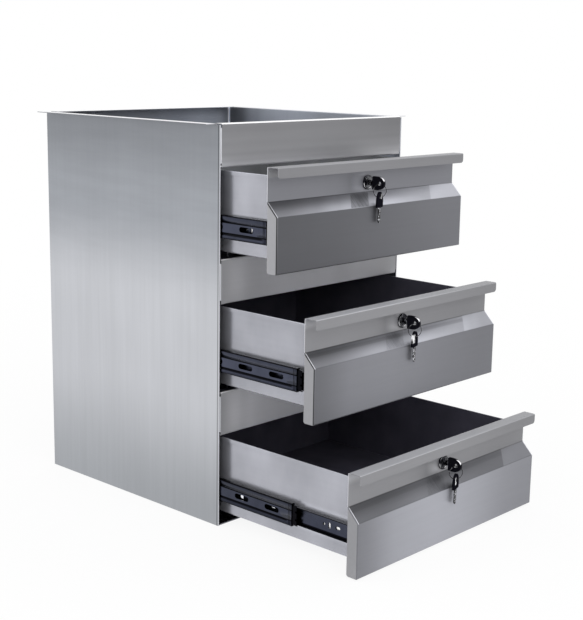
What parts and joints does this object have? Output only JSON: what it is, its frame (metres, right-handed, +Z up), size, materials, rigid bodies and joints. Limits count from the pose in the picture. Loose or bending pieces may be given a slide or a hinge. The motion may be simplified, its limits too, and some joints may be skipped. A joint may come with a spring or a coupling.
{
  "type": "outdoor kitchen drawer unit",
  "caption": "Open-topped stainless pedestal with lockable drawers on full-extension ball-bearing slides, for an outdoor kitchen or bar.",
  "frame": {"origin": "middle of the case at the level it stands on", "axes": "+Z up, the drawers open towards -Y, and +X points to the right of someone who faces the fronts"},
  "size_m": [0.46, 0.7126, 0.61],
  "materials": {
    "case_steel": "satin stainless sheet, grain running along each panel",
    "front_steel": "satin stainless sheet, grain running along the front",
    "box_steel": "satin stainless sheet, dark inside",
    "slide_steel": "dark blue-grey plated slide steel",
    "lock_chrome": "polished",
    "lock_zinc": "bright zinc plate",
    "key_plastic": "moulded black plastic, slightly worn shine",
    "key_metal": "nickel-plated blade",
    "ring_steel": "bright steel wire"
  },
  "bodies": {
    "cabinet": {"left_side_panel": "case_steel", "right_side_panel": "case_steel", "back_panel": "case_steel", "bottom_panel": "case_steel", "top_rail": "case_steel", "middle_rail_1": "case_steel", "middle_rail_2": "case_steel", "left_case_slide_1": "slide_steel", "right_case_slide_1": "slide_steel", "left_case_slide_2": "slide_steel", "right_case_slide_2": "slide_steel", "left_case_slide_3": "slide_steel", "right_case_slide_3": "slide_steel"},
    "runner_1": {"left_runner_1": "slide_steel", "right_runner_1": "slide_steel"},
    "drawer_1": {"drawer_front_1": "front_steel", "drawer_box_1": "box_steel", "left_drawer_slide_1": "slide_steel", "right_drawer_slide_1": "slide_steel", "lock_housing_1": "lock_chrome", "lock_nut_1": "lock_zinc"},
    "lock_1": {"lock_plug_1": "lock_chrome", "lock_cam_1": "lock_zinc", "key_blade_1": "key_metal", "key_head_1": "key_plastic"},
    "ring_1": {"key_ring_1": "ring_steel"},
    "spare_1": {"spare_blade_1": "key_metal", "spare_head_1": "key_plastic"},
    "runner_2": {"left_runner_2": "slide_steel", "right_runner_2": "slide_steel"},
    "drawer_2": {"drawer_front_2": "front_steel", "drawer_box_2": "box_steel", "left_drawer_slide_2": "slide_steel", "right_drawer_slide_2": "slide_steel", "lock_housing_2": "lock_chrome", "lock_nut_2": "lock_zinc"},
    "lock_2": {"lock_plug_2": "lock_chrome", "lock_cam_2": "lock_zinc", "key_blade_2": "key_metal", "key_head_2": "key_plastic"},
    "ring_2": {"key_ring_2": "ring_steel"},
    "spare_2": {"spare_blade_2": "key_metal", "spare_head_2": "key_plastic"},
    "runner_3": {"left_runner_3": "slide_steel", "right_runner_3": "slide_steel"},
    "drawer_3": {"drawer_front_3": "front_steel", "drawer_box_3": "box_steel", "left_drawer_slide_3": "slide_steel", "right_drawer_slide_3": "slide_steel", "lock_housing_3": "lock_chrome", "lock_nut_3": "lock_zinc"},
    "lock_3": {"lock_plug_3": "lock_chrome", "lock_cam_3": "lock_zinc", "key_blade_3": "key_metal", "key_head_3": "key_plastic"},
    "ring_3": {"key_ring_3": "ring_steel"},
    "spare_3": {"spare_blade_3": "key_metal", "spare_head_3": "key_plastic"}
  },
  "joints": [
    {"name": "runner_slide_1", "type": "slide", "parent": "cabinet", "child": "runner_1", "axis": [0, -1, 0], "range_m": [-0.1014, 0.0986]},
    {"name": "drawer_slide_1", "type": "slide", "parent": "runner_1", "child": "drawer_1", "axis": [0, -1, 0], "range_m": [0, 0.2]},
    {"name": "lock_turn_1", "type": "hinge", "parent": "drawer_1", "child": "lock_1", "pos_m": [0, -0.3104, 0.5213], "axis": [0, -1, 0], "range_deg": [0, 90]},
    {"name": "ring_swing_1", "type": "hinge", "parent": "lock_1", "child": "ring_1", "pos_m": [0, -0.3349, 0.52043], "axis": [-0.7986, 0.6018, 0], "range_deg": [0, 45]},
    {"name": "spare_swing_1", "type": "hinge", "parent": "ring_1", "child": "spare_1", "pos_m": [0, -0.3349, 0.50043], "axis": [-0.7986, 0.6018, 0], "range_deg": [0, 45]},
    {"name": "runner_slide_2", "type": "slide", "parent": "cabinet", "child": "runner_2", "axis": [0, -1, 0], "range_m": [-0.1644, 0.0356]},
    {"name": "drawer_slide_2", "type": "slide", "parent": "runner_2", "child": "drawer_2", "axis": [0, -1, 0], "range_m": [-0.0123, 0.1877]},
    {"name": "lock_turn_2", "type": "hinge", "parent": "drawer_2", "child": "lock_2", "pos_m": [0, -0.3857, 0.3193], "axis": [0, -1, 0], "range_deg": [0, 90]},
    {"name": "ring_swing_2", "type": "hinge", "parent": "lock_2", "child": "ring_2", "pos_m": [0, -0.4102, 0.31843], "axis": [-0.7986, 0.6018, 0], "range_deg": [0, 45]},
    {"name": "spare_swing_2", "type": "hinge", "parent": "ring_2", "child": "spare_2", "pos_m": [0, -0.4102, 0.29843], "axis": [-0.7986, 0.6018, 0], "range_deg": [0, 45]},
    {"name": "runner_slide_3", "type": "slide", "parent": "cabinet", "child": "runner_3", "axis": [0, -1, 0], "range_m": [-0.159, 0.041]},
    {"name": "drawer_slide_3", "type": "slide", "parent": "runner_3", "child": "drawer_3", "axis": [0, -1, 0], "range_m": [-0.1032, 0.0968]},
    {"name": "lock_turn_3", "type": "hinge", "parent": "drawer_3", "child": "lock_3", "pos_m": [0, -0.4712, 0.1173], "axis": [0, -1, 0], "range_deg": [0, 90]},
    {"name": "ring_swing_3", "type": "hinge", "parent": "lock_3", "child": "ring_3", "pos_m": [0, -0.4957, 0.11643], "axis": [-0.7986, 0.6018, 0], "range_deg": [0, 45]},
    {"name": "spare_swing_3", "type": "hinge", "parent": "ring_3", "child": "spare_3", "pos_m": [0, -0.4957, 0.09643], "axis": [-0.7986, 0.6018, 0], "range_deg": [0, 45]}
  ]
}
